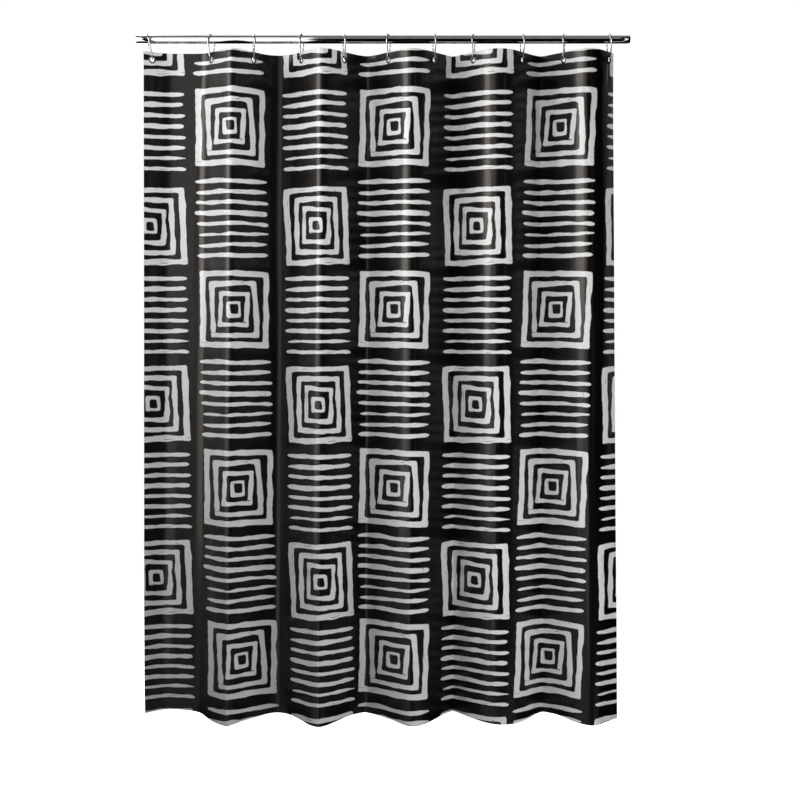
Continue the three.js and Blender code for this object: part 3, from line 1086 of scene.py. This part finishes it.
def make_curtain():
    film = make_film()
    rod_metal = metal("rod_chrome", CHROME, CHROME_DULL, 0.07, 8.0, 900.0)
    ring_metal = metal("ring_chrome", WIRE, WIRE_DULL, 0.12, 500.0, 500.0)
    eyelet_metal = metal("eyelet_metal", NICKEL, NICKEL_DARK, 0.22, 600.0, 600.0)
    make_rod(rod_metal)
    wire = wire_mesh()
    for index in range(EYELET_COUNT):
        number = f"{index + 1:02d}"
        make_ring(index, *wire, ring_metal)
        front, washer = f"eyelet_front_{number}", f"eyelet_washer_{number}"
        make_eyelet_part(f"grommet_{number}", front, index, front_profile(), eyelet_metal)
        make_eyelet_part(f"washer_{number}", washer, index, washer_profile(), eyelet_metal)


make_curtain()

# ---------- floor and light ----------

FLOOR_Z = -2.2
FLOOR_RADIUS = 14.0
BACKDROP_HEIGHT = 12.0
ROUND_SIDES = 96


def only_seen(thing):
    """The camera sees it, and it throws no light or reflection on the curtain."""
    thing.visible_diffuse = False
    thing.visible_glossy = False
    thing.visible_shadow = False


def round_rim(radius, height):
    angles = np.arange(ROUND_SIDES) * 2 * math.pi / ROUND_SIDES
    return [(radius * math.cos(a), radius * math.sin(a), height) for a in angles]


def add_stage():
    """A pale round floor, and a white wall and ceiling far round it."""
    floor = mesh_object("floor", round_rim(FLOOR_RADIUS, FLOOR_Z), [tuple(range(ROUND_SIDES))], smooth=False)
    n = Nodes("pale_floor")
    speckle = n.noise(n.node("ShaderNodeTexCoord").outputs["Object"], 3.0)
    glow = dict(Emission_Color=(1, 1, 1, 1), Emission_Strength=1.0)
    pale = n.mix_colour(n.add(speckle, 0.5), (0.86, 0.86, 0.86, 1), (0.9, 0.9, 0.9, 1))
    floor.data.materials.append(n.finish(Base_Color=pale, Roughness=0.8, **glow))
    low_rim, high_rim = (round_rim(FLOOR_RADIUS, z) for z in (FLOOR_Z, BACKDROP_HEIGHT))
    sides = [
        (i, (i + 1) % ROUND_SIDES, (i + 1) % ROUND_SIDES + ROUND_SIDES, i + ROUND_SIDES)
        for i in range(ROUND_SIDES)
    ]
    top = tuple(range(ROUND_SIDES, 2 * ROUND_SIDES))
    backdrop = mesh_object("backdrop", low_rim + high_rim, [*sides, top], smooth=False)
    n = Nodes("white_backdrop")
    white = dict(Base_Color=(0, 0, 0, 1), Emission_Color=(1, 1, 1, 1), Emission_Strength=1.0)
    backdrop.data.materials.append(n.finish(**white))
    for thing in (floor, backdrop):
        only_seen(thing)


def add_softbox(name, place, aim, size, radiance, colour=(1, 1, 1), glossy=True, diffuse=True):
    """A rectangular lamp of this brightness per square metre, which the camera doesn't see."""
    data = bpy.data.lights.new(name, "AREA")
    data.shape = "RECTANGLE"
    data.size, data.size_y = size
    data.energy = radiance * math.pi * size[0] * size[1]
    data.color = colour
    lamp = bpy.data.objects.new(name, data)
    bpy.context.scene.collection.objects.link(lamp)
    lamp.location = place
    lamp.rotation_euler = (Vector(aim) - Vector(place)).to_track_quat("-Z", "Y").to_euler()
    lamp.visible_camera = False
    lamp.visible_glossy = glossy
    lamp.visible_diffuse = diffuse


WARM = (1.0, 0.92, 0.85)
ROOM_LIGHT = 0.06


def add_light():
    world = bpy.data.worlds.new("studio")
    world.use_nodes = True
    background = world.node_tree.nodes["Background"]
    background.inputs["Color"].default_value = (1, 1, 1, 1)
    background.inputs["Strength"].default_value = ROOM_LIGHT
    world.cycles_visibility.glossy = False
    bpy.context.scene.world = world
    shine = dict(diffuse=False)
    soft = dict(glossy=False)
    add_softbox("front_left", (-0.68, -1.2, -0.45), (-0.68, 0, -0.45), (0.82, 3.3), 1.5, **shine)
    add_softbox("side_left", (-2.5, -0.85, 0.25), (0, -0.3, 0.25), (1.9, 2.1), 7.5, WARM, **shine)
    add_softbox("side_left_low", (-2.5, -0.85, -1.3), (0, -0.3, -1.3), (1.9, 0.9), 2.6, WARM, **shine)
    add_softbox("side_right", (2.6, -1.9, -0.1), (0, 0, -0.1), (0.3, 2.6), 1.2, WARM, **shine)
    add_softbox("front_high", (0, -2.3, 1.4), (0, 0, 1.4), (4.6, 1.7), 0.2, **shine)
    add_softbox("overhead", (0, 0, 2.2), (0, 0, 0), (4.4, 4.6), 0.2, **shine)
    add_softbox("low_front", (0, -0.5, -2.1), (0, -0.5, 0), (4.4, 0.8), 0.4, **shine)
    add_softbox("key_left", (-2.1, -1.1, 0.25), (-0.3, 0, 0.1), (0.8, 1.6), 6.5, **soft)
    add_softbox("key_front", (-0.35, -1.0, -0.15), (-0.3, 0, -0.3), (1.3, 0.7), 2.5, **soft)
    add_softbox("fill_low", (0.65, -1.0, -1.3), (0.55, 0, -1.25), (0.8, 1.2), 2.2, **soft)
    add_softbox("fill_right", (2.2, -1.1, -0.6), (0.3, 0, -0.6), (0.6, 2.4), 3.0, **soft)
    add_softbox("back_left", (-1.7, 2.2, 0.2), (-0.2, 0, -0.7), (1.4, 2.6), 5.0)
    add_softbox("back_right", (1.9, 2.0, -0.2), (0.2, 0, -0.9), (0.9, 2.6), 3.0)


add_stage()
add_light()
bpy.context.scene.view_settings.view_transform = "Standard"
